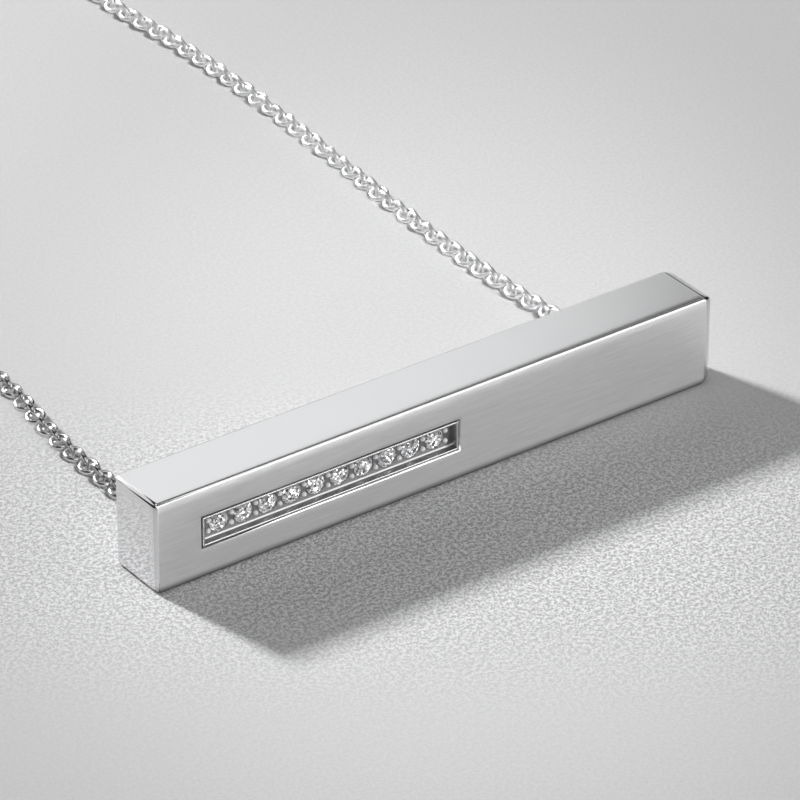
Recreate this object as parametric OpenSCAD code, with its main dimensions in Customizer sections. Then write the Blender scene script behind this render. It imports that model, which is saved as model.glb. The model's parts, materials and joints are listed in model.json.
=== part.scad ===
// Bar pendant on its own chain, lying on a flat surface. Millimetres.
// The bar rests on one long side, at z = 0, with the stone-set face towards -Y.
// The chain leaves the back face at both ends and closes in a loop on the surface.

/* [Bar] */
// Length of the bar
bar_l = 35.6; // [28:0.1:45]
// Height of the bar above the surface that it rests on
bar_h = 5.26; // [4:0.02:7]
// Depth of the bar from its front face to its back face
bar_d = 3.64; // [2.6:0.02:5]
// Rounding of the long edges
edge_r = 0.16; // [0.05:0.01:0.4]
// Rounding of all edges at the left end
left_r = 0.25; // [0.2:0.05:1.2]
// Rounding of all edges at the right end
right_r = 0.9; // [0.2:0.05:1.2]

/* [Stones] */
// Number of stones in the row
stone_n = 10; // [6:1:13]
// Diameter of a stone at its girdle
stone_d = 1.15; // [0.9:0.01:1.4]
// Clear width between two neighbouring stones
stone_gap = 0.336; // [0.3:0.002:0.5]
// Width of the flat table as a share of the diameter
table_share = 0.57; // [0.5:0.01:0.62]
// Height of the crown as a share of the diameter
crown_share = 0.15; // [0.12:0.005:0.17]
// Thickness of the girdle as a share of the diameter
girdle_share = 0.02; // [0.01:0.005:0.04]
// Depth of the pavilion as a share of the diameter
pavilion_share = 0.43; // [0.4:0.005:0.45]
// Depth of the tables below the front face of the bar
table_depth = 0.3; // [0.15:0.01:0.45]

/* [Stone tray] */
// Distance from the left end of the bar to the pocket
pocket_in = 2.78; // [1.5:0.02:4]
// Width of plain bed beyond each end stone
bed_end = 0.55; // [0.4:0.01:0.9]
// Width of plain bed above and below the stones
bed_side = 0.155; // [0.1:0.005:0.3]
// Thickness of the rim round the bed
rim_w = 0.12; // [0.08:0.01:0.2]
// Width of the bright-cut bevel along the foot of the rim's long sides
bevel_w = 0.07; // [0.03:0.01:0.09]
// Thickness of the tray under its bed
tray_base = 0.72; // [0.65:0.01:0.9]
// Gap between the tray and the pocket on each side
tray_gap = 0.06; // [0.03:0.01:0.1]
// Gap between the tray and the floor of the pocket
floor_gap = 0.02; // [0.01:0.01:0.05]
// Gap between a stone and its seat
seat_gap = 0.03; // [0.02:0.005:0.05]
// Diameter of the hole that is drilled through behind each stone
azure_d = 0.6; // [0.4:0.02:0.8]

/* [Beads] */
// Diameter of a bead
bead_d = 0.27; // [0.2:0.01:0.3]
// Distance between the two beads of a pair
bead_pair = 0.6; // [0.56:0.01:0.8]
// Height of the beads above the bed
bead_h = 0.19; // [0.15:0.01:0.22]
// Distance from an end stone's girdle to the middle of the beads beyond it
bead_end = 0.105; // [0.1:0.005:0.2]

/* [Bails] */
// Distance from each end of the bar to the bail behind it
bail_in = 3.05; // [1.5:0.05:5]
// Distance from the top of the bar down to the middle of the bails
bail_down = 1.86; // [1.4:0.02:2]
// Radius of a bail to the middle of its wire
bail_r = 0.8; // [0.7:0.02:1]
// Thickness of a bail's wire
bail_wire = 0.4; // [0.3:0.02:0.5]

/* [Jump rings] */
// Radius of a jump ring to the middle of its wire
ring_r = 0.8; // [0.7:0.02:1]
// Thickness of a jump ring's wire
ring_wire = 0.3; // [0.24:0.02:0.36]
// Angle at which a jump ring hangs below the level
ring_tilt = 40; // [30:1:50]
// Gap between a jump ring and the bail that it hangs on
ring_clear = 0.08; // [0.04:0.01:0.12]

/* [Chain] */
// Outer diameter of the chain
chain_d = 1.1; // [0.8:0.02:1.4]
// Gap between the end of a chain and the ring or eye that holds it
chain_clear = 0.15; // [0.1:0.01:0.3]

/* [Clasp] */
// Distance from the middle of the bar to the clasp
clasp_y = 190; // [175:1:210]
// Length of the closed barrel clasp without its eyes
clasp_l = 9; // [7:0.5:12]
// Diameter of the barrel
clasp_d = 3; // [2.4:0.1:4]
// Radius of an eye to the middle of its wire
eye_r = 0.6; // [0.5:0.02:0.8]
// Thickness of an eye's wire
eye_wire = 0.36; // [0.3:0.02:0.44]
// Length over which a strand rises from the surface to its eye
rise_l = 3.5; // [2.5:0.1:6]

/* [Hidden] */
$fn = 48;
function stone_name(i) = str("stone_", i < 10 ? "0" : "", i);

metal = "silver";
front_y = -bar_d / 2;
back_y = bar_d / 2;
// What a cut or a sunk joint reaches past the face that it starts from
over = 0.1;

// Heights of a stone, from its table down
stone_r = stone_d / 2;
crown_h = crown_share * stone_d;
girdle_h = girdle_share * stone_d;
pavilion_h = pavilion_share * stone_d;
pitch = stone_d + stone_gap;
row_l = (stone_n - 1) * pitch;

// The bed lies level with the top of the girdles
bed_depth = table_depth + crown_h;
bed_l = row_l + stone_d + 2 * bed_end;
bed_h = stone_d + 2 * bed_side;
tray_l = bed_l + 2 * rim_w;
tray_h = bed_h + 2 * rim_w;
tray_d = bed_depth + tray_base;
pocket_l = tray_l + 2 * tray_gap;
pocket_h = tray_h + 2 * tray_gap;
pocket_d = tray_d + floor_gap;
pocket_x = -bar_l / 2 + pocket_in + pocket_l / 2;
pocket_z = bar_h / 2;
first_x = pocket_x - row_l / 2;

// Depths of a seat: straight past the girdle, then a cone along the pavilion, then the drilled hole
seat_r = stone_r + seat_gap;
seat_foot = bed_depth + girdle_h;
azure_r = azure_d / 2;
cone_h = pavilion_h * (seat_r - azure_r) / stone_r;

// Beads stand midway between two stones, and just beyond the end stones
bead_r = bead_d / 2;
bead_first = first_x - stone_r - bead_end;
bead_last = first_x + row_l + stone_r + bead_end;
bead_xs = concat(
    [bead_first],
    [for (i = [0:stone_n - 2]) first_x + (i + 0.5) * pitch],
    [bead_last]
);

// A jump ring runs from inside its bail, down and away from the back face
bail_x = bar_l / 2 - bail_in;
bail_z = bar_h - bail_down;
hang = [0, cos(ring_tilt), -sin(ring_tilt)];
ring_near = bail_r - (bail_wire + ring_wire) / 2 - ring_clear;
ring_far = ring_near + 2 * ring_r;

// The chain hangs off the far side of the ring and comes down to the surface
chain_r = chain_d / 2;
chain_sides = 8;
chain_z = chain_r * cos(180 / chain_sides);
chain_start = ring_far + ring_wire / 2 + chain_clear;
clasp_r = clasp_d / 2;
eye_x = clasp_l / 2 + eye_r;
chain_stop = eye_x + eye_r + eye_wire / 2 + chain_clear;

// Points where each strand lies, from the bar to the clasp, joined by a smooth curve
left_lie = [
    [-14.4, 6.3], [-14.15, 12.6], [-13.25, 19.6], [-13.35, 27.2], [-16.35, 40.2], [-23.1, 58],
    [-30.5, 81], [-36, 106], [-37, 131], [-34, 151], [-26, 171], [-14, 185.5]
];
right_lie = [
    [14.55, 6.3], [14.25, 13.1], [14.55, 21.2], [15.25, 30.2], [15.75, 38.2], [15.85, 46.3], [15.55, 53.3],
    [16.25, 63.4], [20.8, 78], [28.2, 97], [35, 117], [37, 135], [34, 154], [26, 171], [14, 185.5]
];
// How far a strand still has to come across, towards the clasp's own line, where it leaves the surface
landing_in = 1;
// Largest distance between two rings of points along a strand
ring_step = 7;

// The unit vector along v
function unit(v) = v / norm(v);

// A point of the curve from b to c, with a and d as the points before and after, for t from 0 to 1
function curve_point(a, b, c, d, t) =
    0.5 * (2 * b + (c - a) * t + (2 * a - 5 * b + 4 * c - d) * t * t + (3 * b - a - 3 * c + d) * t * t * t);

// The smooth curve through all points, which never sinks below the height at which the chain lies
function curve(points) =
    let (last = len(points) - 1)
    concat(
        [
            for (i = [0:last - 1])
            let (
                a = points[max(i - 1, 0)],
                b = points[i],
                c = points[i + 1],
                d = points[min(i + 2, last)],
                steps = ceil(norm(c - b) / ring_step)
            )
            for (k = [0:steps - 1])
            let (p = curve_point(a, b, c, d, k / steps))
            [p.x, p.y, max(p.z, chain_z)]
        ],
        [points[last]]
    );

// The whole route of a strand: side is -1 for the left one and 1 for the right one
function route(side, lie) =
    let (
        start = [side * bail_x, back_y, bail_z] + chain_start * hang,
        stop = [side * chain_stop, clasp_y, clasp_r],
        landing = [side * (chain_stop + rise_l), clasp_y - landing_in, chain_z]
    )
    concat(
        [start, start + hang],
        [for (p = lie) [p.x, p.y, chain_z]],
        [landing, stop + [side, 0, 0], stop]
    );

// A box with its long edges rounded, and the edges of each end rounded by a radius of its own
module rounded_bar(l, d, h, long_r, left_r, right_r) {
    intersection() {
        translate([-l / 2, 0, h / 2])
            rotate([90, 0, 90])
                linear_extrude(l)
                    rounded_rectangle(d, h, long_r, long_r);
        linear_extrude(h)
            rounded_rectangle(l, d, left_r, right_r);
        translate([0, d / 2, h / 2])
            rotate([90, 0, 0])
                linear_extrude(d)
                    rounded_rectangle(l, h, left_r, right_r);
    }
}

// A rectangle about the origin, with one radius for its left corners and another for its right ones
module rounded_rectangle(w, h, left_r, right_r) {
    mirror([1, 0])
        half_rectangle(w, h, left_r);
    half_rectangle(w, h, right_r);
}

// The right half of a rectangle about the origin, with round corners, and a little of its left half
module half_rectangle(w, h, r) {
    translate([-over, -h / 2])
        square([w / 2 - r + over, h]);
    translate([-over, r - h / 2])
        square([w / 2 + over, h - 2 * r]);
    for (y = [-1, 1])
        translate([w / 2 - r, y * (h / 2 - r)])
            circle(r);
}

// A block that starts at the front face and runs into the bar, centred on the row of stones
module front_block(l, h, from, to) {
    translate([pocket_x - l / 2, front_y + from, pocket_z - h / 2])
        cube([l, to - from, h]);
}

// A round hole or post along Y, between two depths below the front face
module along_y(x, z, from, to, r1, r2) {
    translate([x, front_y + from, z])
        rotate([-90, 0, 0])
            cylinder(h = to - from, r1 = r1, r2 = r2);
}

// A ring of round wire about the Z axis
module wire_ring(r, wire, angle = 360) {
    rotate_extrude(angle = angle)
        translate([r, 0])
            circle(wire / 2);
}

// Half a ring of wire that stands out of the back face
module bail(side) {
    translate([side * bail_x, back_y, bail_z])
        rotate([0, 90, 0])
            wire_ring(bail_r, bail_wire, 180);
    for (z = [-1, 1])
        translate([side * bail_x, back_y - over, bail_z + z * bail_r])
            rotate([-90, 0, 0])
                cylinder(h = over, d = bail_wire);
}

module bar() {
    color(metal) {
        difference() {
            rounded_bar(bar_l, bar_d, bar_h, edge_r, left_r, right_r);
            front_block(pocket_l, pocket_h, -over, pocket_d);
        }
        bail(-1);
        bail(1);
    }
}

// The bevel along the foot of one long side of the rim: side is -1 for the lower and 1 for the upper
module foot_bevel(side) {
    translate([pocket_x - bed_l / 2 - over / 2, front_y + bed_depth, pocket_z + side * bed_h / 2])
        rotate([90, 0, 90])
            linear_extrude(bed_l + over)
                polygon([[-bevel_w, 0], [0, -side * bevel_w], [over / 2, 0], [0, side * over / 2]]);
}

module seat(x) {
    along_y(x, pocket_z, bed_depth - over, seat_foot, seat_r, seat_r);
    along_y(x, pocket_z, seat_foot, seat_foot + cone_h, seat_r, azure_r);
    along_y(x, pocket_z, seat_foot, tray_d + over, azure_r, azure_r);
}

// A round bead whose foot is sunk in the bed
module bead(x, z) {
    translate([x, front_y + bed_depth - bead_h + bead_r, z])
        sphere(bead_r);
}

module stone_tray() {
    color(metal) {
        difference() {
            front_block(tray_l, tray_h, 0, tray_d);
            front_block(bed_l, bed_h, -over, bed_depth);
            for (i = [0:stone_n - 1])
                seat(first_x + i * pitch);
        }
        foot_bevel(-1);
        foot_bevel(1);
        for (x = bead_xs)
            for (z = [-1, 1])
                bead(x, pocket_z + z * bead_pair / 2);
    }
}

// A round brilliant about the Z axis, with the top of its girdle at z = 0
module brilliant() {
    mains = 8;
    turn = 360 / mains;
    half = turn / 2;
    table_r = table_share * stone_r;
    // The star facets reach halfway from the table's edge to the girdle
    star_r = (table_r * cos(half) + stone_r) / 2;
    // The lower halves reach four fifths of the way from the girdle to the culet
    lower_r = stone_r / 5;
    // Height of the crown's and the pavilion's main facets over a point between two of them
    star_z = crown_h * (stone_r - star_r * cos(half)) / (stone_r - table_r);
    lower_z = -girdle_h - pavilion_h * (stone_r - lower_r * cos(half)) / stone_r;
    points = concat(
        [for (i = [0:mains - 1]) [table_r * cos(i * turn), table_r * sin(i * turn), crown_h]],
        [for (i = [0:mains - 1]) [star_r * cos(i * turn + half), star_r * sin(i * turn + half), star_z]],
        [for (i = [0:2 * mains - 1]) [stone_r * cos(i * half), stone_r * sin(i * half), 0]],
        [for (i = [0:2 * mains - 1]) [stone_r * cos(i * half), stone_r * sin(i * half), -girdle_h]],
        [for (i = [0:mains - 1]) [lower_r * cos(i * turn + half), lower_r * sin(i * turn + half), lower_z]],
        [[0, 0, -girdle_h - pavilion_h]]
    );
    // Where each ring of points begins
    star = mains;
    top = 2 * mains;
    bottom = 4 * mains;
    lower = 6 * mains;
    culet = 7 * mains;
    faces = concat(
        [[for (i = [mains - 1:-1:0]) i]],
        [for (i = [0:mains - 1]) [i, (i + 1) % mains, star + i]],
        [for (i = [0:mains - 1]) [i, star + i, top + 2 * i, star + (i + mains - 1) % mains]],
        [for (i = [0:mains - 1]) [star + i, top + 2 * i + 1, top + 2 * i]],
        [for (i = [0:mains - 1]) [star + i, top + (2 * i + 2) % (2 * mains), top + 2 * i + 1]],
        [
            for (i = [0:2 * mains - 1])
            let (next = (i + 1) % (2 * mains))
            [top + i, top + next, bottom + next, bottom + i]
        ],
        [for (i = [0:mains - 1]) [lower + i, bottom + 2 * i, bottom + 2 * i + 1]],
        [for (i = [0:mains - 1]) [lower + i, bottom + 2 * i + 1, bottom + (2 * i + 2) % (2 * mains)]],
        [for (i = [0:mains - 1]) [culet, lower + (i + mains - 1) % mains, bottom + 2 * i, lower + i]]
    );
    polyhedron(points, faces);
}

module stone(i) {
    color("white")
        translate([first_x + (i - 1) * pitch, front_y + bed_depth, pocket_z])
            rotate([90, 0, 0])
                brilliant();
}

module jump_ring(side) {
    color(metal)
        translate([side * bail_x, back_y, bail_z] + (ring_near + ring_r) * hang)
            rotate([-ring_tilt, 0, 0])
                wire_ring(ring_r, ring_wire);
}

// A closed eight-sided tube along a path
module tube(path) {
    last = len(path) - 1;
    step = 360 / chain_sides;
    points = [
        for (i = [0:last])
        let (
            along = unit(path[min(i + 1, last)] - path[max(i - 1, 0)]),
            across = unit(cross(along, [0, 0, 1])),
            up = cross(across, along)
        )
        for (k = [0:chain_sides - 1])
        path[i] + chain_r * (cos((k + 0.5) * step) * across + sin((k + 0.5) * step) * up)
    ];
    faces = concat(
        [[for (k = [0:chain_sides - 1]) k]],
        [
            for (i = [0:last - 1])
            for (k = [0:chain_sides - 1])
            let (
                a = i * chain_sides + k,
                b = i * chain_sides + (k + 1) % chain_sides
            )
            [a, a + chain_sides, b + chain_sides, b]
        ],
        [[for (k = [chain_sides - 1:-1:0]) last * chain_sides + k]]
    );
    polyhedron(points, faces);
}

module chain(side, lie) {
    color(metal)
        tube(curve(route(side, lie)));
}

// Half the outline of a rod with one round end, from the rod's foot up to the tip of the dome
module domed_outline(r, straight) {
    square([r, straight]);
    translate([0, straight])
        intersection() {
            circle(r);
            square(r);
        }
}

// A closed barrel with a round end and an eye at each side, lying along X
module clasp() {
    color(metal)
        translate([0, clasp_y, clasp_r]) {
            rotate([0, 90, 0])
                rotate_extrude() {
                    domed_outline(clasp_r, clasp_l / 2 - clasp_r);
                    mirror([0, 1])
                        domed_outline(clasp_r, clasp_l / 2 - clasp_r);
                }
            for (side = [-1, 1])
                translate([side * eye_x, 0, 0])
                    wire_ring(eye_r, eye_wire);
        }
}

bar();
stone_tray();
for (i = [1:stone_n]) stone(i);
jump_ring(-1);  // jump_ring_left
jump_ring(1);  // jump_ring_right
chain(-1, left_lie);  // chain_left
chain(1, right_lie);  // chain_right
clasp();
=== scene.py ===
"""Bar pendant necklace: the finishes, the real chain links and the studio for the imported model."""

from __future__ import annotations

import json
import logging
import math
import random
from dataclasses import dataclass
from enum import Enum
from typing import Any, Iterable, Sequence, Union

import bmesh
import bpy
from mathutils import Matrix, Vector

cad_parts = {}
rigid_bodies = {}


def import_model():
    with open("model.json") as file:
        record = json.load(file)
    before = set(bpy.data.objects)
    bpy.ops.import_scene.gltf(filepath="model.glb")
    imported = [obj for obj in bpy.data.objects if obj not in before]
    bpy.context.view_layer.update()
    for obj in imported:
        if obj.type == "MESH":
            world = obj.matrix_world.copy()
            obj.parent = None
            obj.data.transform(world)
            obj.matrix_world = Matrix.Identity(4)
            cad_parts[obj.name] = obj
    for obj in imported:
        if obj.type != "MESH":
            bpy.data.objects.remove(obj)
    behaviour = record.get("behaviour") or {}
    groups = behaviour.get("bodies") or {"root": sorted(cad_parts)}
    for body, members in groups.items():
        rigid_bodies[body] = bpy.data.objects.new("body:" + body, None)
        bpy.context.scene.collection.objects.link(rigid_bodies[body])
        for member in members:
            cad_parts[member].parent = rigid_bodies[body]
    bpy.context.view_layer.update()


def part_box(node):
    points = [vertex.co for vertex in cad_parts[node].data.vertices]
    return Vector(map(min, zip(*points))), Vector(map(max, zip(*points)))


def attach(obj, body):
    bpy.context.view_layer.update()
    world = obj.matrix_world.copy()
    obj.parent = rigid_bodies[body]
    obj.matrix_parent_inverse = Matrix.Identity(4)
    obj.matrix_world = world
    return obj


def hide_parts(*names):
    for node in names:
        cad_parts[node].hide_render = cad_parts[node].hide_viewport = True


MM = 0.001
PHOTO_PX = 800
# Distances in metres: what counts as none, how near a cut takes in a corner, and what is joined up.
HAIR = 0.001 * MM
CUT_DISTANCE = 1e-4 * MM
MERGE_DISTANCE = 1e-5 * MM
# Turns between two faces, in radians: less is flat, and more is sharp.
FLAT_TURN = 0.1
SHARP_TURN = 1.0
# Edges that turn by more than this, in degrees, stay sharp. With the second none does.
CREASE = 32.0
NO_CREASE = 180.0
# The spread of a light that isn't narrowed, in degrees.
WIDEST_SPREAD = 180.0
# The way up, and a quarter turn about X.
UPWARD = Vector((0, 0, 1))
QUARTER_TURN = Matrix.Rotation(math.pi / 2, 4, "X")
# The two colours that go into a Mix node, and the colour that comes out.
MIX_COLOURS = (6, 7)
MIX_RESULT = 2
log = logging.getLogger("necklace")

Span = tuple[float, float]
Triple = tuple[float, float, float]
Term = Union["Socket", float]


class Side(Enum):
    """The two ends of the bar, each with its own strand of chain."""

    LEFT = -1
    RIGHT = 1


class Slot(Enum):
    """The record's material slots."""

    BRUSHED = "brushed_metal"
    BRIGHT = "bright_metal"
    STONE = "stone"


class Socket:
    """One value or colour in a shader tree. Arithmetic on it adds the Math nodes."""

    def __init__(self, recipe: Recipe, output: bpy.types.NodeSocket | None) -> None:
        """Wraps one output of a node in the material that the recipe builds."""
        self.recipe = recipe
        self.output = output

    def maths(self, operation: str, *terms: Term) -> Socket:
        """Adds one Math node with the terms as its inputs, and returns its value."""
        return self.recipe.node("ShaderNodeMath", {"operation": operation}, dict(enumerate(terms)))

    def __add__(self, other: Term) -> Socket:
        """Returns self + other."""
        return self.maths("ADD", self, other)

    def __radd__(self, other: float) -> Socket:
        """Returns other + self."""
        return self.maths("ADD", other, self)

    def __sub__(self, other: Term) -> Socket:
        """Returns self - other."""
        return self.maths("SUBTRACT", self, other)

    def __rsub__(self, other: float) -> Socket:
        """Returns other - self."""
        return self.maths("SUBTRACT", other, self)

    def __mul__(self, other: Term) -> Socket:
        """Returns self * other."""
        return self.maths("MULTIPLY", self, other)

    def __rmul__(self, other: float) -> Socket:
        """Returns other * self."""
        return self.maths("MULTIPLY", other, self)

    def __truediv__(self, other: Term) -> Socket:
        """Returns self / other."""
        return self.maths("DIVIDE", self, other)

    def __pow__(self, other: float) -> Socket:
        """Returns self to the power other."""
        return self.maths("POWER", self, other)

    def __neg__(self) -> Socket:
        """Returns -self."""
        return self.maths("MULTIPLY", self, -1.0)

    def __abs__(self) -> Socket:
        """Returns the absolute value."""
        return self.maths("ABSOLUTE", self)

    def sibling(self, name: str) -> Socket:
        """Returns another output of the same node."""
        return Socket(self.recipe, self.output.node.outputs[name])

    def at_least(self, floor: Term) -> Socket:
        """Returns self, or the floor where self is less."""
        return self.maths("MAXIMUM", self, floor)

    def ramp(self, start: float, end: float) -> Socket:
        """Rises smoothly from 0 at start to 1 at end.

        Args:
            start: The value that gives 0.
            end: The value that gives 1.

        Returns:
            The eased value.
        """
        settings = {"interpolation_type": "SMOOTHSTEP"}
        inputs = {"Value": self, "From Min": start, "From Max": end}
        return self.recipe.node("ShaderNodeMapRange", settings, inputs)


class Recipe:
    """A procedural material under construction."""

    def __init__(self, name: str) -> None:
        """Starts an empty material.

        Args:
            name: The material's name.
        """
        self.material = bpy.data.materials.new(name)
        self.material.use_nodes = True
        self.tree = self.material.node_tree
        self.tree.nodes.clear()

    def node(
        self,
        kind: str,
        settings: dict[str, Any] | None = None,
        inputs: dict[Any, Any] | None = None,
        output: Union[int, str] = 0,
    ) -> Socket:
        """Adds one node.

        Args:
            kind: The node's type.
            settings: Its properties, which are set first.
            inputs: Values or sockets, by the input's name or number.
            output: The name or number of the output that is wanted.

        Returns:
            The wanted output, or an empty socket for the node that ends the tree.
        """
        made = self.tree.nodes.new(kind)
        for key, value in (settings or {}).items():
            setattr(made, key, value)
        for key, value in (inputs or {}).items():
            if isinstance(value, Socket):
                self.tree.links.new(value.output, made.inputs[key])
            else:
                made.inputs[key].default_value = value
        return Socket(self, made.outputs[output] if made.outputs else None)

    def place(self) -> Socket:
        """Returns the object's own coordinates, in metres."""
        return self.node("ShaderNodeTexCoord", output="Object")

    def scaled(self, per_mm: Sequence[float]) -> Socket:
        """Returns the object's own coordinates in steps, so many to the millimetre along X, Y and Z."""
        scale = [count / MM for count in per_mm]
        return self.node("ShaderNodeMapping", inputs={"Vector": self.place(), "Scale": scale})

    def in_mm(self) -> tuple[Socket, Socket, Socket]:
        """Returns the object's own X, Y and Z, in millimetres."""
        x, y, z = self.split(self.place())
        return x / MM, y / MM, z / MM

    def facing(self) -> tuple[Socket, Socket, Socket]:
        """Returns the three parts of the surface's direction, in the object's own frame."""
        return self.split(self.node("ShaderNodeTexCoord", output="Normal"))

    def split(self, vector: Socket) -> tuple[Socket, Socket, Socket]:
        """Returns a vector's X, Y and Z."""
        x = self.node("ShaderNodeSeparateXYZ", inputs={"Vector": vector})
        return x, x.sibling("Y"), x.sibling("Z")

    def noise(self, per_mm: Sequence[float], detail: float = 2.0, roughness: float = 0.5) -> Socket:
        """Adds noise, about 0.5 on average, with so many swells to the millimetre along X, Y and Z."""
        inputs = {"Vector": self.scaled(per_mm), "Scale": 1.0, "Detail": detail, "Roughness": roughness}
        return self.node("ShaderNodeTexNoise", inputs=inputs)

    def bump(self, height: Socket, depth: float) -> Socket:
        """Turns a height from 0 to 1 into a surface direction. The depth of 1 is in metres."""
        inputs = {"Height": height, "Distance": depth, "Strength": 1.0}
        return self.node("ShaderNodeBump", inputs=inputs)

    def mix(self, share: Socket, low: Union[Socket, Triple], high: Union[Socket, Triple]) -> Socket:
        """Mixes two colours, which may be linked or plain.

        Args:
            share: 0 for the low colour and 1 for the high one.
            low: The first colour.
            high: The second colour.

        Returns:
            The mixed colour.
        """
        inputs: dict[Any, Any] = {"Factor": share}
        for key, colour in zip(MIX_COLOURS, (low, high)):
            inputs[key] = colour if isinstance(colour, Socket) else (*colour, 1.0)
        return self.node("ShaderNodeMix", {"data_type": "RGBA"}, inputs, MIX_RESULT)

    def vector(self, operation: str, first: Socket, second: Union[Socket, Sequence[float]]) -> Socket:
        """Adds one Vector Math node. A dot product gives a number, and the others give a vector."""
        output = "Value" if operation == "DOT_PRODUCT" else "Vector"
        return self.node("ShaderNodeVectorMath", {"operation": operation}, {0: first, 1: second}, output)

    def surface(self, inputs: dict[str, Any]) -> bpy.types.Material:
        """Ends the material in one Principled surface.

        Args:
            inputs: Values or sockets, by the input's name.

        Returns:
            The finished material.
        """
        shader = self.node("ShaderNodeBsdfPrincipled", inputs=inputs)
        self.node("ShaderNodeOutputMaterial", inputs={"Surface": shader})
        return self.material


@dataclass(frozen=True)
class BarFinish:
    """Metal that is brushed lengthwise in front, satin on top and polished at both ends.

    Sizes are in millimetres. A facing is how squarely the surface looks along an axis, from 0 to 1. The
    roll bends the upper part of the front, the ease bends the front part of the top, and the mouth is the
    pocket's edge. The crown is the top edge of the left end, made lighter with a painted highlight, and the
    edges of both ends are darker with painted shade. The foot is where the bar stands, and its colour is
    darker towards the bottom there, painted contact shade.
    """

    name: str = "bar_metal"
    colour: Triple = (0.82, 0.82, 0.825)
    worn_colour: Triple = (0.71, 0.71, 0.715)
    satin_colour: Triple = (0.90, 0.905, 0.915)
    polished_colour: Triple = (0.82, 0.82, 0.825)
    # Painted shade on the rounded edges of both ends.
    painted_end_edge_shade: Triple = (0.70, 0.70, 0.705)
    # Painted highlight on the top edge of the left end.
    painted_crown_highlight: Triple = (0.95, 0.95, 0.955)
    # Painted contact shade: the colour the bar takes along its bottom.
    painted_foot_shade: Triple = (0.20, 0.20, 0.205)
    brushed_roughness: float = 0.48
    satin_roughness: float = 0.2
    polished_roughness: float = 0.05
    edge_roughness: float = 0.22
    end_edge_roughness: float = 0.08
    flat_facing: Span = (0.96, 0.99)
    brushed_facing: Span = (0.93, 0.99)
    edge_facing: Span = (0.15, 0.4)
    grain_per_mm: Triple = (0.7, 18.0, 18.0)
    grain_depth: float = 0.002
    scratch_per_mm: Triple = (0.2, 7.0, 7.0)
    scratch_share: float = 0.35
    contrast: Span = (0.3, 0.7)
    streak_roughness: float = 0.06
    cloud_per_mm: Triple = (0.25, 0.4, 0.4)
    cloud_tone: float = 0.4
    cloud_roughness: float = 0.04
    roll_from: float = 4.4
    roll_bend: float = 0.4
    ease_from: float = -1.2
    ease_bend: float = 0.5
    mouth_middle: Span = (-7.028, 2.63)
    mouth_reach: Span = (7.99, 0.91)
    mouth_ease: float = 0.3
    mouth_slope: float = 0.12
    # From the height where the painted foot shade starts to where it is full, in millimetres.
    painted_foot_reach: Span = (0.5, 0.05)

    def sag(self, recipe: Recipe) -> Socket:
        """Finds how far the front and the top fall away beside their edges and round the pocket.

        Args:
            recipe: The material.

        Returns:
            The depth below the flat face.
        """
        x, y, z = recipe.in_mm()
        rolled = (z - self.roll_from).at_least(0.0)
        eased = (self.ease_from - y).at_least(0.0)
        off_x = abs(x - self.mouth_middle[0]) - self.mouth_reach[0]
        off_z = abs(z - self.mouth_middle[1]) - self.mouth_reach[1]
        in_front = (-y).ramp(0.0, 1.0)
        near = (self.mouth_ease - off_x.at_least(off_z)).at_least(0.0) * in_front
        mouth = near * near * (self.mouth_slope / 2 / self.mouth_ease)
        return rolled**3 * (self.roll_bend / 3) + eased**3 * (self.ease_bend / 3) + mouth

    def build(self) -> bpy.types.Material:
        """Builds the finish.

        Returns:
            The material.
        """
        recipe = Recipe(self.name)
        across, depth, up = recipe.facing()
        end = abs(across).ramp(*self.flat_facing)
        top = abs(up).ramp(*self.flat_facing)
        brushed = abs(depth).ramp(*self.brushed_facing)
        edge = 1.0 - end - top - brushed
        # The end edges' mask sets their roughness and marks where their painted shade goes.
        end_edge = edge * abs(across).ramp(*self.edge_facing)
        # The crown mask marks where the painted highlight goes.
        crown = edge * (-across).ramp(*self.edge_facing) * up.ramp(*self.edge_facing)
        # Painted contact shade: darker towards the bottom, on all but the end faces.
        foot = recipe.in_mm()[2].ramp(*self.painted_foot_reach) * (1.0 - end)
        grain = recipe.noise(self.grain_per_mm, detail=4.0, roughness=0.65).ramp(*self.contrast)
        scratches = recipe.noise(self.scratch_per_mm, detail=3.0, roughness=0.7).ramp(*self.contrast)
        streaks = grain * (1.0 - self.scratch_share) + scratches * self.scratch_share
        cloud = recipe.noise(self.cloud_per_mm)
        broad = brushed * self.brushed_roughness + top * self.satin_roughness
        narrow = end * self.polished_roughness + end_edge * self.end_edge_roughness
        soft = (edge - end_edge) * self.edge_roughness
        roughness = broad + narrow + soft + (streaks - 0.5) * self.streak_roughness * brushed
        satin = top * (cloud * self.cloud_tone + (1.0 - self.cloud_tone / 2))
        plain = recipe.mix(satin, self.colour, self.satin_colour)
        ends = recipe.mix(end, plain, self.polished_colour)
        # Painted shade on the ends' edges.
        edges = recipe.mix(end_edge, ends, self.painted_end_edge_shade)
        # Painted highlight on the crown.
        crowned = recipe.mix(crown, edges, self.painted_crown_highlight)
        worn = recipe.mix((1.0 - streaks) * brushed, crowned, self.worn_colour)
        return recipe.surface(
            {
                # The foot mix paints contact shade along the bottom.
                "Base Color": recipe.mix(foot, worn, self.painted_foot_shade),
                "Metallic": 1.0,
                "Roughness": roughness + (cloud - 0.5) * self.cloud_roughness * (brushed + top),
                "Normal": recipe.bump(streaks * brushed * self.grain_depth - self.sag(recipe), MM),
            }
        )


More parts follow.
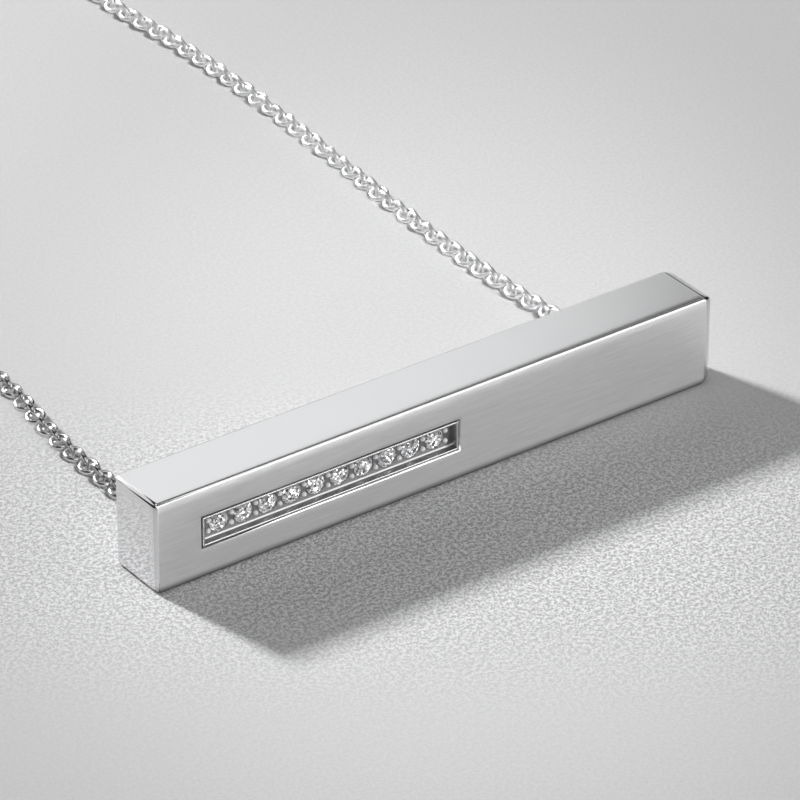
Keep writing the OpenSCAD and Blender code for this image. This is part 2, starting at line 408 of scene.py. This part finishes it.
@dataclass(frozen=True)
class BrightFinish:
    """Polished metal with fine wear, as on the links and the rings. The nicks are finer than the wear."""

    name: str
    colour: Triple = (0.95, 0.95, 0.955)
    worn_colour: Triple = (0.82, 0.82, 0.825)
    roughness: float = 0.09
    wear_per_mm: float = 3.0
    wear_depth: float = 0.002 * MM
    wear_roughness: float = 0.6
    nick_per_mm: float = 12.0
    nick_share: float = 0.3

    def build(self) -> bpy.types.Material:
        """Builds the finish.

        Returns:
            The material.
        """
        recipe = Recipe(self.name)
        wear = recipe.noise((self.wear_per_mm,) * 3, detail=3.0, roughness=0.6)
        nicks = recipe.noise((self.nick_per_mm,) * 3, detail=1.0)
        worn = 1.0 - self.wear_roughness / 2 + self.wear_roughness * wear
        height = wear * (1.0 - self.nick_share) + nicks * self.nick_share
        return recipe.surface(
            {
                "Base Color": recipe.mix(wear, self.worn_colour, self.colour),
                "Metallic": 1.0,
                "Roughness": self.roughness * worn,
                "Normal": recipe.bump(height, self.wear_depth),
            }
        )


@dataclass(frozen=True)
class TrayFinish:
    """Bright rim and beads, matt white as a painted highlight, over a bed in painted shade. Sizes are in
    millimetres.

    The bed's painted shade fades out over the margin, which is counted up from the bed.
    """

    name: str = "tray_metal"
    bright: Triple = (0.97, 0.97, 0.975)
    # Painted shade in the recessed bed and on walls that don't face forward.
    painted_recess_shade: Triple = (0.38, 0.38, 0.385)
    front_face: float = -1.82
    rim_depth: Span = (0.1, 0.2)
    rim_facing: Span = (0.15, 0.6)
    bed_depth: float = 0.4725
    bed_margin: Span = (0.02, 0.002)
    bed_middle: Span = (-7.028, 2.63)
    bed_reach: Span = (7.6, 0.5)
    bed_ease: float = 0.1
    rim_roughness: float = 0.12
    bead_roughness: float = 0.3
    dull_roughness: float = 0.34
    wear_per_mm: float = 6.0
    wear_tone: float = 0.15
    wear_roughness: float = 0.1
    wear_depth: float = 0.004

    def build(self) -> bpy.types.Material:
        """Builds the finish.

        Returns:
            The material.
        """
        recipe = Recipe(self.name)
        x, y, z = recipe.in_mm()
        depth = y - self.front_face
        forward = -recipe.facing()[1]
        off_x = abs(x - self.bed_middle[0]).ramp(self.bed_reach[0], self.bed_reach[0] + self.bed_ease)
        off_z = abs(z - self.bed_middle[1]).ramp(self.bed_reach[1], self.bed_reach[1] + self.bed_ease)
        # Where the beads are; they turn matt white below, a painted highlight.
        bead = (1.0 - off_x) * (1.0 - off_z)
        over, close = self.bed_margin
        raised = 1.0 - depth.ramp(self.bed_depth - over, self.bed_depth - close)
        # Only the beads and the raised surfaces that face forward stay bright; the rest takes painted
        # recess shade.
        bright = raised * (bead + (1.0 - bead) * forward.ramp(*self.rim_facing))
        wear = recipe.noise((self.wear_per_mm,) * 3, detail=3.0, roughness=0.6)
        sunk = depth.ramp(*self.rim_depth)
        shine = (1.0 - sunk) * self.rim_roughness + sunk * self.bead_roughness
        roughness = bright * shine + (1.0 - bright) * self.dull_roughness
        share = bright * (1.0 - self.wear_tone + self.wear_tone * wear)
        return recipe.surface(
            {
                # The mix paints shade into the bed and the walls.
                "Base Color": recipe.mix(share, self.painted_recess_shade, self.bright),
                # Matt white beads in place of metal: a painted highlight.
                "Metallic": 1.0 - bead * raised,
                "Roughness": roughness + (wear - 0.5) * self.wear_roughness,
                "Normal": recipe.bump(wear, self.wear_depth * MM),
            }
        )


@dataclass(frozen=True)
class StoneFinish:
    """Clear cut stone, whose inner facets throw the light back in small flat patches.

    Each patch leans its own way about the level and has a tone from 0 to 1. The tone paints a reflection
    into the colour: below the painted dark reach it is dark, and above it bright.
    """

    name: str = "clear_stone"
    bright: Triple = (1.0, 1.0, 1.0)
    # Painted dark reflection in the stone's patches.
    painted_dark_reflection: Triple = (0.30, 0.31, 0.33)
    painted_dark_reach: Span = (0.1, 0.35)
    patches_per_mm: float = 9.0
    patch_slope: float = 1.1
    level: Triple = (0.5, 0.5, 0.9)
    metal_share: float = 0.5
    roughness: float = 0.05

    def build(self) -> bpy.types.Material:
        """Builds the finish.

        Returns:
            The material.
        """
        recipe = Recipe(self.name)
        where = recipe.scaled((self.patches_per_mm,) * 3)
        tone = recipe.node("ShaderNodeTexVoronoi", inputs={"Vector": where, "Scale": 1.0}, output="Color")
        lean = recipe.vector("SUBTRACT", tone, self.level)
        offset = recipe.vector("SUBTRACT", where, tone.sibling("Position"))
        height = recipe.vector("DOT_PRODUCT", lean, offset)
        # Each patch's tone paints a reflection into the colour, dark below the reach and bright above.
        share = recipe.split(tone)[0].ramp(*self.painted_dark_reach)
        return recipe.surface(
            {
                "Base Color": recipe.mix(share, self.painted_dark_reflection, self.bright),
                "Metallic": self.metal_share,
                "Roughness": self.roughness + self.roughness * share,
                "Normal": recipe.bump(height, self.patch_slope * MM / self.patches_per_mm),
            }
        )


@dataclass(frozen=True)
class FloorFinish:
    """A plain pale matt surface, palest round the bar and darker towards its edges, a painted falloff of
    light, with its grain deepest in a band along it.

    Sizes are in millimetres. The course is the direction in which the camera looks over the floor, and in
    the painted pool of light distances along it count by the depth share. The least is the grain's share
    off the band.
    """

    name: str = "pale_floor"
    colour: Triple = (0.89, 0.89, 0.895)
    shade: Triple = (0.43, 0.43, 0.435)
    # The darker colour towards the floor's edges: a painted falloff of light.
    rim: Triple = (0.34, 0.34, 0.345)
    roughness: float = 0.8
    grain_per_mm: float = 4.5
    grain_depth: float = 0.035
    speck_per_mm: float = 9.0
    speck_depth: float = 0.02
    contrast: Span = (0.75, 1.25)
    course: Span = (0.589, 0.808)
    band_middle: float = -7.0
    band_reach: Span = (3.0, 17.0)
    least: float = 0.12
    painted_light_middle: Span = (2.5, 0.5)
    painted_falloff_reach: Span = (9.0, 30.0)
    depth_share: float = 0.515
    painted_falloff_share: float = 0.45

    def build(self) -> bpy.types.Material:
        """Builds the finish.

        Returns:
            The material.
        """
        recipe = Recipe(self.name)
        x, y, _ = recipe.in_mm()
        away = x * self.course[0] + y * self.course[1]
        aside = x * self.course[1] - y * self.course[0]
        band = 1.0 - abs(away - self.band_middle).ramp(*self.band_reach) * (1.0 - self.least)
        away_from = (away - self.painted_light_middle[1]) * self.depth_share
        aside_from = aside - self.painted_light_middle[0]
        far = (away_from * away_from + aside_from * aside_from) ** 0.5
        grain = recipe.noise((self.grain_per_mm,) * 3, detail=1.0, roughness=0.4)
        specks = recipe.noise((self.speck_per_mm,) * 3)
        tone = ((grain + specks).ramp(*self.contrast) - 0.5) * band + 0.5
        grained = recipe.mix(tone, self.shade, self.colour)
        # Painted falloff of light: darker away from the middle.
        rim = far.ramp(*self.painted_falloff_reach) * self.painted_falloff_share
        height = (grain * self.grain_depth + specks * self.speck_depth) * band
        return recipe.surface(
            {
                "Base Color": recipe.mix(rim, grained, self.rim),
                "Roughness": self.roughness,
                "Normal": recipe.bump(height, MM),
            }
        )


def direction(azimuth: float, elevation: float) -> Vector:
    """Returns the direction at an angle from +Y towards +X and one above the level, in degrees."""
    az, el = math.radians(azimuth), math.radians(elevation)
    return Vector((math.sin(az) * math.cos(el), math.cos(az) * math.cos(el), math.sin(el)))


def put(name: str, data: bpy.types.ID) -> bpy.types.Object:
    """Puts a new object into the scene.

    Args:
        name: The object's name.
        data: Its mesh, light or camera.

    Returns:
        The object.
    """
    made = bpy.data.objects.new(name, data)
    bpy.context.scene.collection.objects.link(made)
    return made


def stored(name: str, bm: bmesh.types.BMesh) -> bpy.types.Mesh:
    """Stores a mesh that is being built, and frees it.

    Args:
        name: The stored mesh's name.
        bm: The mesh, in metres.

    Returns:
        The stored mesh.
    """
    mesh = bpy.data.meshes.new(name)
    bm.to_mesh(mesh)
    bm.free()
    return mesh


def edges_at(verts: Iterable[bmesh.types.BMVert]) -> list[bmesh.types.BMEdge]:
    """Returns the edges that meet at the vertices, each once."""
    return list(dict.fromkeys(edge for vert in verts for edge in vert.link_edges))


def of_kind(kind: type, parts: Iterable[Any]) -> list[Any]:
    """Returns the parts of a mesh that are of one kind."""
    return [part for part in parts if isinstance(part, kind)]


def finish_piece(
    name: str,
    bm: bmesh.types.BMesh,
    material: bpy.types.Material,
    nodes: Iterable[str],
    crease: float,
) -> bpy.types.Object:
    """Makes a piece of the object from a mesh that is already in place.

    Args:
        name: The piece's name.
        bm: Its mesh, in metres. It is freed.
        material: Its finish.
        nodes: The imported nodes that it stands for.
        crease: Edges sharper than this angle, in degrees, stay sharp.

    Returns:
        The piece.
    """
    mesh = stored(name, bm)
    if "custom_normal" in mesh.attributes:
        mesh.attributes.remove(mesh.attributes["custom_normal"])
    mesh.shade_smooth()
    mesh.set_sharp_from_angle(angle=math.radians(crease))
    mesh.materials.append(material)
    piece = put(name, mesh)
    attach(piece, "root")
    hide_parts(*nodes)
    log.info("%s: %d faces", name, len(mesh.polygons))
    return piece


def merged_copy(node: str) -> bmesh.types.BMesh:
    """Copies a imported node's mesh with its loose triangles joined up.

    Args:
        node: The node.

    Returns:
        The joined mesh.
    """
    bm = bmesh.new()
    bm.from_mesh(bpy.data.objects[node].data)
    bmesh.ops.remove_doubles(bm, verts=bm.verts, dist=MERGE_DISTANCE)
    bmesh.ops.dissolve_degenerate(bm, edges=bm.edges, dist=MERGE_DISTANCE)
    return bm


def smooth_copy(node: str, material: bpy.types.Material) -> bpy.types.Object:
    """Makes a piece that stands for a node, with the node's curved faces shaded smooth."""
    return finish_piece(f"{node}_smooth", merged_copy(node), material, [node], CREASE)


@dataclass(frozen=True)
class StoneTray:
    """The inlaid setting with its softened rim. Sizes are in metres.

    Faces that meet at less than the level angle, in degrees, become one.
    """

    front_face: float = -1.82 * MM
    rim_round: float = 0.045 * MM
    round_steps: int = 4
    level_angle: float = 0.2
    finish: TrayFinish = TrayFinish()

    def build(self) -> bpy.types.Object:
        """Builds the tray.

        Returns:
            The piece that stands for its node.
        """
        bm = merged_copy("stone_tray")
        level = math.radians(self.level_angle)
        bmesh.ops.dissolve_limit(bm, angle_limit=level, verts=bm.verts, edges=bm.edges)
        rim = [edge for edge in bm.edges if self.on_rim(edge)]
        bmesh.ops.bevel(
            bm,
            geom=rim,
            offset=self.rim_round,
            offset_type="OFFSET",
            segments=self.round_steps,
            profile=0.5,
            affect="EDGES",
            material=-1,
            clamp_overlap=True,
        )
        log.info("the tray's rim: %d edges softened", len(rim))
        material = self.finish.build()
        return finish_piece("stone_tray_smooth", bm, material, ["stone_tray"], CREASE)

    def on_rim(self, edge: bmesh.types.BMEdge) -> bool:
        """Returns whether an edge bounds the rim's front face."""
        in_front = all(abs(vert.co.y - self.front_face) < HAIR for vert in edge.verts)
        return in_front and len(edge.link_faces) == 2 and edge.calc_face_angle() > SHARP_TURN


@dataclass(frozen=True)
class Bar:
    """The solid bar with its pocket and the two wire bails behind it. Sizes are in metres."""

    length: float = 35.6 * MM
    depth: float = 3.64 * MM
    height: float = 5.26 * MM
    pocket_depth: float = 1.2125 * MM
    pocket_gap: float = 0.06 * MM
    edge_round: float = 0.16 * MM
    left_round: float = 0.25 * MM
    right_round: float = 0.9 * MM
    mouth_round: float = 0.09 * MM
    bail_in: float = 3.05 * MM
    bail_down: float = 1.86 * MM
    bail_radius: float = 0.8 * MM
    bail_wire: float = 0.4 * MM
    sunk_foot: float = 0.1 * MM
    round_steps: int = 6
    bail_sides: int = 16
    bail_steps: int = 24
    finish: BarFinish = BarFinish()

    def block(self) -> bmesh.types.BMesh:
        """Builds the block with the pocket sunk into its front face.

        Returns:
            Its mesh.
        """
        bm = bmesh.new()
        bmesh.ops.create_cube(bm, size=1.0)
        bmesh.ops.scale(bm, vec=(self.length, self.depth, self.height), verts=bm.verts)
        bmesh.ops.translate(bm, vec=(0.0, 0.0, self.height / 2), verts=bm.verts)
        tray_low, tray_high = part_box("stone_tray")
        gap = Vector((self.pocket_gap, 0.0, self.pocket_gap))
        low, high = tray_low - gap, tray_high + gap
        for corner in (low, high):
            for normal in ((1, 0, 0), (0, 0, 1)):
                parts = [*bm.verts, *bm.edges, *bm.faces]
                bmesh.ops.bisect_plane(bm, geom=parts, plane_co=corner, plane_no=normal, dist=CUT_DISTANCE)
        front = [face for face in bm.faces if face.calc_center_median().y < HAIR - self.depth / 2]
        mouth = min(front, key=lambda face: (face.calc_center_median() - (low + high) / 2).length)
        sunk = bmesh.ops.extrude_discrete_faces(bm, faces=[mouth])["faces"]
        bmesh.ops.translate(bm, vec=(0.0, self.pocket_depth, 0.0), verts=sunk[0].verts)
        bmesh.ops.recalc_face_normals(bm, faces=bm.faces)
        return bm

    def rounding(self, edge: bmesh.types.BMEdge) -> float:
        """Finds how far an edge of the block is rounded.

        Args:
            edge: The edge.

        Returns:
            The radius, or 0 for an edge that stays sharp.
        """
        if len(edge.link_faces) != 2 or edge.calc_face_angle() < FLAT_TURN:
            return 0.0
        middle = (edge.verts[0].co + edge.verts[1].co) / 2
        at_end = abs(abs(middle.x) - self.length / 2) < HAIR
        at_side = abs(abs(middle.y) - self.depth / 2) < HAIR
        at_level = middle.z < HAIR or middle.z > self.height - HAIR
        if at_end:
            return self.left_round if middle.x < 0 else self.right_round
        if at_level:
            return self.edge_round
        return self.mouth_round if at_side else 0.0

    def add_bail(self, bm: bmesh.types.BMesh, side: Side) -> None:
        """Adds one half ring of wire to the back face.

        Args:
            bm: The block that it is soldered to.
            side: The end of the bar.
        """
        out = self.length / 2 - self.bail_in
        middle = Vector((side.value * out, self.depth / 2, self.height - self.bail_down))
        sinking = Vector((0, self.sunk_foot, 0))
        foot = Matrix.Translation(middle + Vector((0, 0, self.bail_radius)) - sinking) @ QUARTER_TURN
        half = self.bail_wire / 2
        section = bmesh.ops.create_circle(bm, segments=self.bail_sides, radius=half, matrix=foot)["verts"]
        grown = bmesh.ops.extrude_edge_only(bm, edges=edges_at(section))["geom"]
        bmesh.ops.translate(bm, vec=sinking, verts=of_kind(bmesh.types.BMVert, grown))
        moving = [part for part in grown if not isinstance(part, bmesh.types.BMFace)]
        spun = bmesh.ops.spin(
            bm, geom=moving, cent=middle, axis=(1, 0, 0), angle=-math.pi, steps=self.bail_steps
        )["geom_last"]
        sunk = bmesh.ops.extrude_edge_only(bm, edges=of_kind(bmesh.types.BMEdge, spun))["geom"]
        bmesh.ops.translate(bm, vec=-sinking, verts=of_kind(bmesh.types.BMVert, sunk))

    def build(self) -> bpy.types.Object:
        """Builds the bar.

        Returns:
            The piece that stands for its node.
        """
        bm = self.block()
        largest = max(self.edge_round, self.left_round, self.right_round)
        weight = bm.edges.layers.float.new("bevel_weight_edge")
        for edge in bm.edges:
            edge[weight] = self.rounding(edge) / largest
        for side in Side:
            self.add_bail(bm, side)
        bmesh.ops.holes_fill(bm, edges=[edge for edge in bm.edges if edge.is_boundary])
        bmesh.ops.recalc_face_normals(bm, faces=bm.faces)
        piece = finish_piece("bar_body", bm, self.finish.build(), ["bar"], NO_CREASE)
        bevel = piece.modifiers.new("rounded_edges", "BEVEL")
        bevel.limit_method = "WEIGHT"
        bevel.offset_type = "OFFSET"
        bevel.width = largest
        bevel.segments = self.round_steps
        bevel.profile = 0.5
        bevel.use_clamp_overlap = False
        flat = piece.modifiers.new("flat_faces", "WEIGHTED_NORMAL")
        flat.mode = "FACE_AREA"
        return piece


@dataclass(frozen=True)
class Link:
    """One link of the chain, a little longer than wide. Sizes are in metres."""

    radius: float = 0.55 * MM
    wire: float = 0.31 * MM
    width_share: float = 0.82
    fine_steps: tuple[int, int] = (12, 5)
    plain_steps: tuple[int, int] = (10, 5)

    @property
    def lying(self) -> float:
        """How high the middle of a link is above the surface that it stands on."""
        return (self.radius + self.wire / 2) * self.width_share

    def reach(self, along: Vector, wide: Vector) -> float:
        """Returns how far a link reaches down from its middle, with the whole thickness of its wire."""
        return self.radius * math.hypot(along.z, wide.z * self.width_share) + self.wire / 2

    def pattern(self, steps: tuple[int, int]) -> bpy.types.Mesh:
        """Makes one link about the Z axis.

        Args:
            steps: How many sections it has round the ring, and sides round the wire.

        Returns:
            The link's mesh.
        """
        around, sides = steps
        bm = bmesh.new()
        place = Matrix.Translation((self.radius, 0, 0)) @ QUARTER_TURN
        section = bmesh.ops.create_circle(bm, segments=sides, radius=self.wire / 2, matrix=place)["verts"]
        bmesh.ops.spin(
            bm,
            geom=[*section, *edges_at(section)],
            cent=(0, 0, 0),
            axis=(0, 0, 1),
            angle=2 * math.pi,
            steps=around,
            use_merge=True,
        )
        bmesh.ops.scale(bm, vec=(1.0, self.width_share, 1.0), verts=bm.verts)
        bmesh.ops.recalc_face_normals(bm, faces=bm.faces)
        return stored("link_pattern", bm)


@dataclass(frozen=True)
class Joining:
    """The rings and eyes that hold the ends of the chain. Sizes are in metres."""

    ring_radius: float = 0.8 * MM
    ring_wire: float = 0.3 * MM
    ring_tilt: float = 40.0
    eye_wire: float = 0.36 * MM
    play: float = 0.035 * MM

    @property
    def hang(self) -> Vector:
        """The direction in which the chain leaves a jump ring."""
        tilt = math.radians(self.ring_tilt)
        return Vector((0.0, math.cos(tilt), -math.sin(tilt)))

    def past(self, link: Link, wire: float) -> float:
        """Returns how far an end link's middle lies past the middle of the wire that it goes round."""
        return link.radius - link.wire / 2 - wire / 2 - self.play

    def first(self, side: Side, link: Link) -> Vector:
        """Returns the middle of the link on a jump ring, for one side and one kind of link."""
        low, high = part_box(f"jump_ring_{side.name.lower()}")
        return (low + high) / 2 + (self.ring_radius + self.past(link, self.ring_wire)) * self.hang

    def last(self, side: Side, link: Link) -> Vector:
        """Finds the middle of the link on the clasp's eye.

        Args:
            side: The side of the clasp.
            link: The kind of link.

        Returns:
            The middle.
        """
        low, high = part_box("clasp")
        reach = (high.x - low.x) / 2 - self.eye_wire / 2 + self.past(link, self.eye_wire)
        return Vector((side.value * reach, (low.y + high.y) / 2, (low.z + high.z) / 2))


@dataclass(frozen=True)
class Strand:
    """One strand of chain, from a jump ring to the clasp. The route's points are in millimetres.

    The landing is where it meets the surface near the clasp, and the approach is how far out, back and down
    from its last point it comes in there. Roll and sway are each link's steady and irregular lean.
    """

    side: Side
    lie: tuple[Span, ...]
    seed: int
    pitch: float = 0.73 * MM
    fine_until: float = 58.0 * MM
    roll: float = 8.0
    sway: float = 9.0
    end_links: int = 7
    curve_steps: int = 48
    landing: Span = (9.53, 189.0)
    approach: Triple = (1.0, 0.1, 0.1)
    link: Link = Link()
    joining: Joining = Joining()

    def route(self) -> list[Vector]:
        """Finds the points that the strand runs through.

        Returns:
            The points, from the jump ring on.
        """
        start = self.joining.first(self.side, self.link)
        stop = self.joining.last(self.side, self.link)
        out, back, down = self.approach
        near = stop + Vector((self.side.value * out, -back, -down)) * MM
        landing = Vector((self.side.value * self.landing[0] * MM, self.landing[1] * MM, self.link.lying))
        lying = [Vector((x * MM, y * MM, self.link.lying)) for x, y in self.lie]
        return [start, start + self.joining.hang * MM, *lying, landing, near, stop]

    def curve(self) -> list[Vector]:
        """Finds the smooth curve through the route's points.

        Returns:
            Closely spaced points on it.
        """
        points = self.route()
        made: list[Vector] = []
        for i in range(len(points) - 1):
            a, b, c = points[max(i - 1, 0)], points[i], points[i + 1]
            d = points[min(i + 2, len(points) - 1)]
            for k in range(self.curve_steps):
                t = k / self.curve_steps
                square = (2 * a - 5 * b + 4 * c - d) * t**2
                cube = (3 * b - a - 3 * c + d) * t**3
                made.append((2 * b + (c - a) * t + square + cube) / 2)
        made.append(points[-1])
        for point in made:
            point.z = max(point.z, self.link.lying)
        return made

    def places(self) -> list[tuple[Vector, Vector]]:
        """Finds where the links are.

        Returns:
            Each link's middle and the chain's direction there.
        """
        curve = self.curve()
        lengths = [0.0]
        for before, after in zip(curve, curve[1:]):
            lengths.append(lengths[-1] + (after - before).length)
        count = 2 * round(lengths[-1] / self.pitch / 2)
        step = lengths[-1] / count
        log.info("%s strand: %.1f mm, %d links", self.side.name, lengths[-1] / MM, count + 1)
        middles = []
        i = 0
        for n in range(count + 1):
            while i < len(curve) - 2 and lengths[i + 1] < n * step:
                i += 1
            share = (n * step - lengths[i]) / (lengths[i + 1] - lengths[i])
            middles.append(curve[i].lerp(curve[i + 1], share))
        chords = [middles[min(n + 1, count)] - middles[max(n - 1, 0)] for n in range(count + 1)]
        return [(middle, chord.normalized()) for middle, chord in zip(middles, chords)]

    def build(self, material: bpy.types.Material) -> bpy.types.Object:
        """Builds the strand.

        Args:
            material: The links' finish.

        Returns:
            The strand as one piece.
        """
        bm = bmesh.new()
        shaker = random.Random(self.seed)
        kinds = (self.link.fine_steps, self.link.plain_steps)
        patterns = {steps: self.link.pattern(steps) for steps in kinds}
        places = self.places()
        for n, (middle, along) in enumerate(places):
            across = along.cross(UPWARD).normalized()
            up = across.cross(along)
            lean = math.radians(self.lean(n, len(places), shaker))
            wide = across * math.cos(lean) + up * math.sin(lean)
            middle.z = max(middle.z, self.link.reach(along, wide))
            turn = Matrix((along, wide, along.cross(wide))).transposed().to_4x4()
            steps = self.link.fine_steps if n * self.pitch < self.fine_until else self.link.plain_steps
            first = len(bm.verts)
            bm.from_mesh(patterns[steps])
            bm.verts.ensure_lookup_table()
            bmesh.ops.transform(bm, matrix=Matrix.Translation(middle) @ turn, verts=bm.verts[first:])
        for pattern in patterns.values():
            bpy.data.meshes.remove(pattern)
        name = f"chain_{self.side.name.lower()}"
        return finish_piece(f"{name}_links", bm, material, [name], NO_CREASE)

    def lean(self, number: int, count: int, shaker: random.Random) -> float:
        """Finds how a link leans about the strand. Every other one lies flat, and the end ones are upright.

        Args:
            number: The link's number, from the jump ring.
            count: How many links the strand has.
            shaker: Where its small irregular part comes from.

        Returns:
            The angle above the level, in degrees.
        """
        from_end = min(number, count - 1 - number)
        loose = min(1.0, from_end / self.end_links)
        return (0.0 if number % 2 else 90.0) + (self.roll + shaker.uniform(-self.sway, self.sway)) * loose


# The points that each strand lies on between its jump ring and the clasp, in millimetres.
LEFT_LIE = (
    (-14.4, 6.3), (-14.15, 12.6), (-13.25, 19.6), (-13.35, 27.2), (-16.35, 40.2), (-23.1, 58),
    (-30.5, 81), (-36, 106), (-37, 131), (-34, 151), (-26, 171), (-14, 185.5),
)
RIGHT_LIE = (
    (14.55, 6.3), (14.25, 13.1), (14.55, 21.2), (15.25, 30.2), (15.75, 38.2), (15.85, 46.3), (15.55, 53.3),
    (16.25, 63.4), (20.8, 78), (28.2, 97), (35, 117), (37, 135), (34, 154), (26, 171), (14, 185.5),
)


@dataclass(frozen=True)
class PhotoCamera:
    """The camera where the photograph was taken, found from the bar's corners."""

    azimuth: float = 36.10
    elevation: float = 31.01
    distance: float = 298.21 * MM
    focal_px: float = 5803.5
    origin_px: Span = (444.34, 484.49)
    sensor: float = 36.0
    origin_depth: float = -1.82 * MM
    clip: Span = (0.01, 20.0)

    def build(self) -> bpy.types.Object:
        """Builds the scene's camera.

        Returns:
            The camera.
        """
        forward = direction(self.azimuth, -self.elevation)
        az = math.radians(self.azimuth)
        right = Vector((math.cos(az), -math.sin(az), 0.0))
        up = right.cross(forward)
        half = PHOTO_PX / 2
        aside = (self.origin_px[0] - half) * self.distance / self.focal_px
        above = (half - self.origin_px[1]) * self.distance / self.focal_px
        data = bpy.data.cameras.new("photo_camera")
        data.sensor_width = self.sensor
        data.lens = self.focal_px * self.sensor / PHOTO_PX
        data.clip_start, data.clip_end = self.clip
        camera = put("photo_camera", data)
        turn = Matrix((right, up, -forward)).transposed().to_4x4()
        origin = Vector((0.0, self.origin_depth, 0.0))
        place = origin - aside * right - above * up - self.distance * forward
        camera.matrix_world = Matrix.Translation(place) @ turn
        bpy.context.scene.camera = camera
        return camera


@dataclass(frozen=True)
class SoftLight:
    """A soft rectangular light that faces the bar. Sizes are in metres and angles in degrees.

    The azimuth is counted from +Y towards +X. The radiance is that of the light's face seen straight on,
    whatever the spread.
    """

    name: str
    azimuth: float
    elevation: float
    distance: float
    width: float
    height: float
    radiance: float
    spread: float = WIDEST_SPREAD

    def build(self) -> bpy.types.Object:
        """Builds the light.

        Returns:
            The light.
        """
        toward = direction(self.azimuth, self.elevation)
        data = bpy.data.lights.new(self.name, "AREA")
        data.shape = "RECTANGLE"
        data.size = self.width
        data.size_y = self.height
        data.spread = math.radians(self.spread)
        half = data.spread / 2
        gathered = 1.0 - half / math.tan(half) if self.spread < WIDEST_SPREAD else 1.0
        data.energy = self.radiance * math.pi * self.width * self.height * gathered
        light = put(self.name, data)
        turn = toward.to_track_quat("Z", "Y").to_matrix().to_4x4()
        light.matrix_world = Matrix.Translation(toward * self.distance) @ turn
        light.visible_camera = False
        return light


@dataclass(frozen=True)
class Studio:
    """The pale floor, the soft lights and the room's own light. Sizes are in metres."""

    floor_size: float = 6.0
    floor_drop: float = 0.004 * MM
    room: float = 0.03
    # Each light's name, azimuth, elevation, distance, width, height and radiance.
    lights: tuple[SoftLight, ...] = (
        SoftLight("key_light", -14.8, 30.4, 0.35, 0.035, 0.035, 450.0, spread=75.0),
        SoftLight("back_panel", 24.0, 32.0, 1.5, 0.74, 0.9, 0.85),
        SoftLight("left_card", -20.0, 28.0, 1.4, 1.2, 1.3, 0.65),
        SoftLight("front_card", 160.0, 10.0, 1.3, 2.0, 0.5, 3.4),
        SoftLight("front_box", 140.0, 42.0, 1.3, 0.3, 1.0, 1.6),
        SoftLight("edge_card", 72.0, 54.0, 1.3, 0.5, 0.5, 0.3),
        SoftLight("low_card", 46.0, 6.0, 1.3, 0.6, 0.5, 0.7),
        SoftLight("camera_box", 216.0, 44.0, 1.3, 0.8, 0.7, 1.3),
        SoftLight("top_box", 0.0, 80.0, 1.3, 0.6, 0.6, 0.8),
    )

    def build(self) -> None:
        """Builds the floor, the lights and the room."""
        bm = bmesh.new()
        bmesh.ops.create_grid(bm, x_segments=1, y_segments=1, size=self.floor_size / 2)
        bmesh.ops.translate(bm, vec=(0, 0, -self.floor_drop), verts=bm.verts)
        floor = put("floor", stored("floor", bm))
        floor.data.materials.append(FloorFinish().build())
        for light in self.lights:
            light.build()
        world = bpy.data.worlds.new("room")
        world.use_nodes = True
        background = world.node_tree.nodes["Background"]
        background.inputs["Color"].default_value = (1.0, 1.0, 1.0, 1.0)
        background.inputs["Strength"].default_value = self.room
        bpy.context.scene.world = world
        bpy.context.scene.view_settings.view_transform = "Standard"


def dress_stones() -> None:
    """Gives every packed stone its clear finish."""
    clear = StoneFinish().build()
    stones = [o for o in bpy.data.objects if o.name.startswith("stone_") and o.name[-2:].isdigit()]
    for stone in stones:
        stone.data.materials.clear()
        stone.data.materials.append(clear)
    log.info("%d stones", len(stones))


def main() -> None:
    """Builds the scene."""
    logging.basicConfig(level=logging.INFO, format="%(name)s: %(message)s")
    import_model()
    PhotoCamera().build()
    Studio().build()
    Bar().build()
    StoneTray().build()
    dress_stones()
    ring_metal = BrightFinish("ring_metal").build()
    for side in Side:
        smooth_copy(f"jump_ring_{side.name.lower()}", ring_metal)
    smooth_copy("clasp", ring_metal)
    # Two copies of one chain metal: the near strand's darker wear is painted shade, and the far strand's
    # whiter colour is painted light.
    near = BrightFinish("near_chain", worn_colour=(0.45, 0.45, 0.455), roughness=0.2)
    shaded_chain_metal = near.build()
    far = BrightFinish("far_chain", colour=(1.0, 1.0, 1.0), worn_colour=(0.95, 0.95, 0.955), roughness=0.4)
    lit_chain_metal = far.build()
    Strand(Side.LEFT, LEFT_LIE, seed=11).build(shaded_chain_metal)
    Strand(Side.RIGHT, RIGHT_LIE, seed=12).build(lit_chain_metal)


if __name__ == "__main__":
    main()
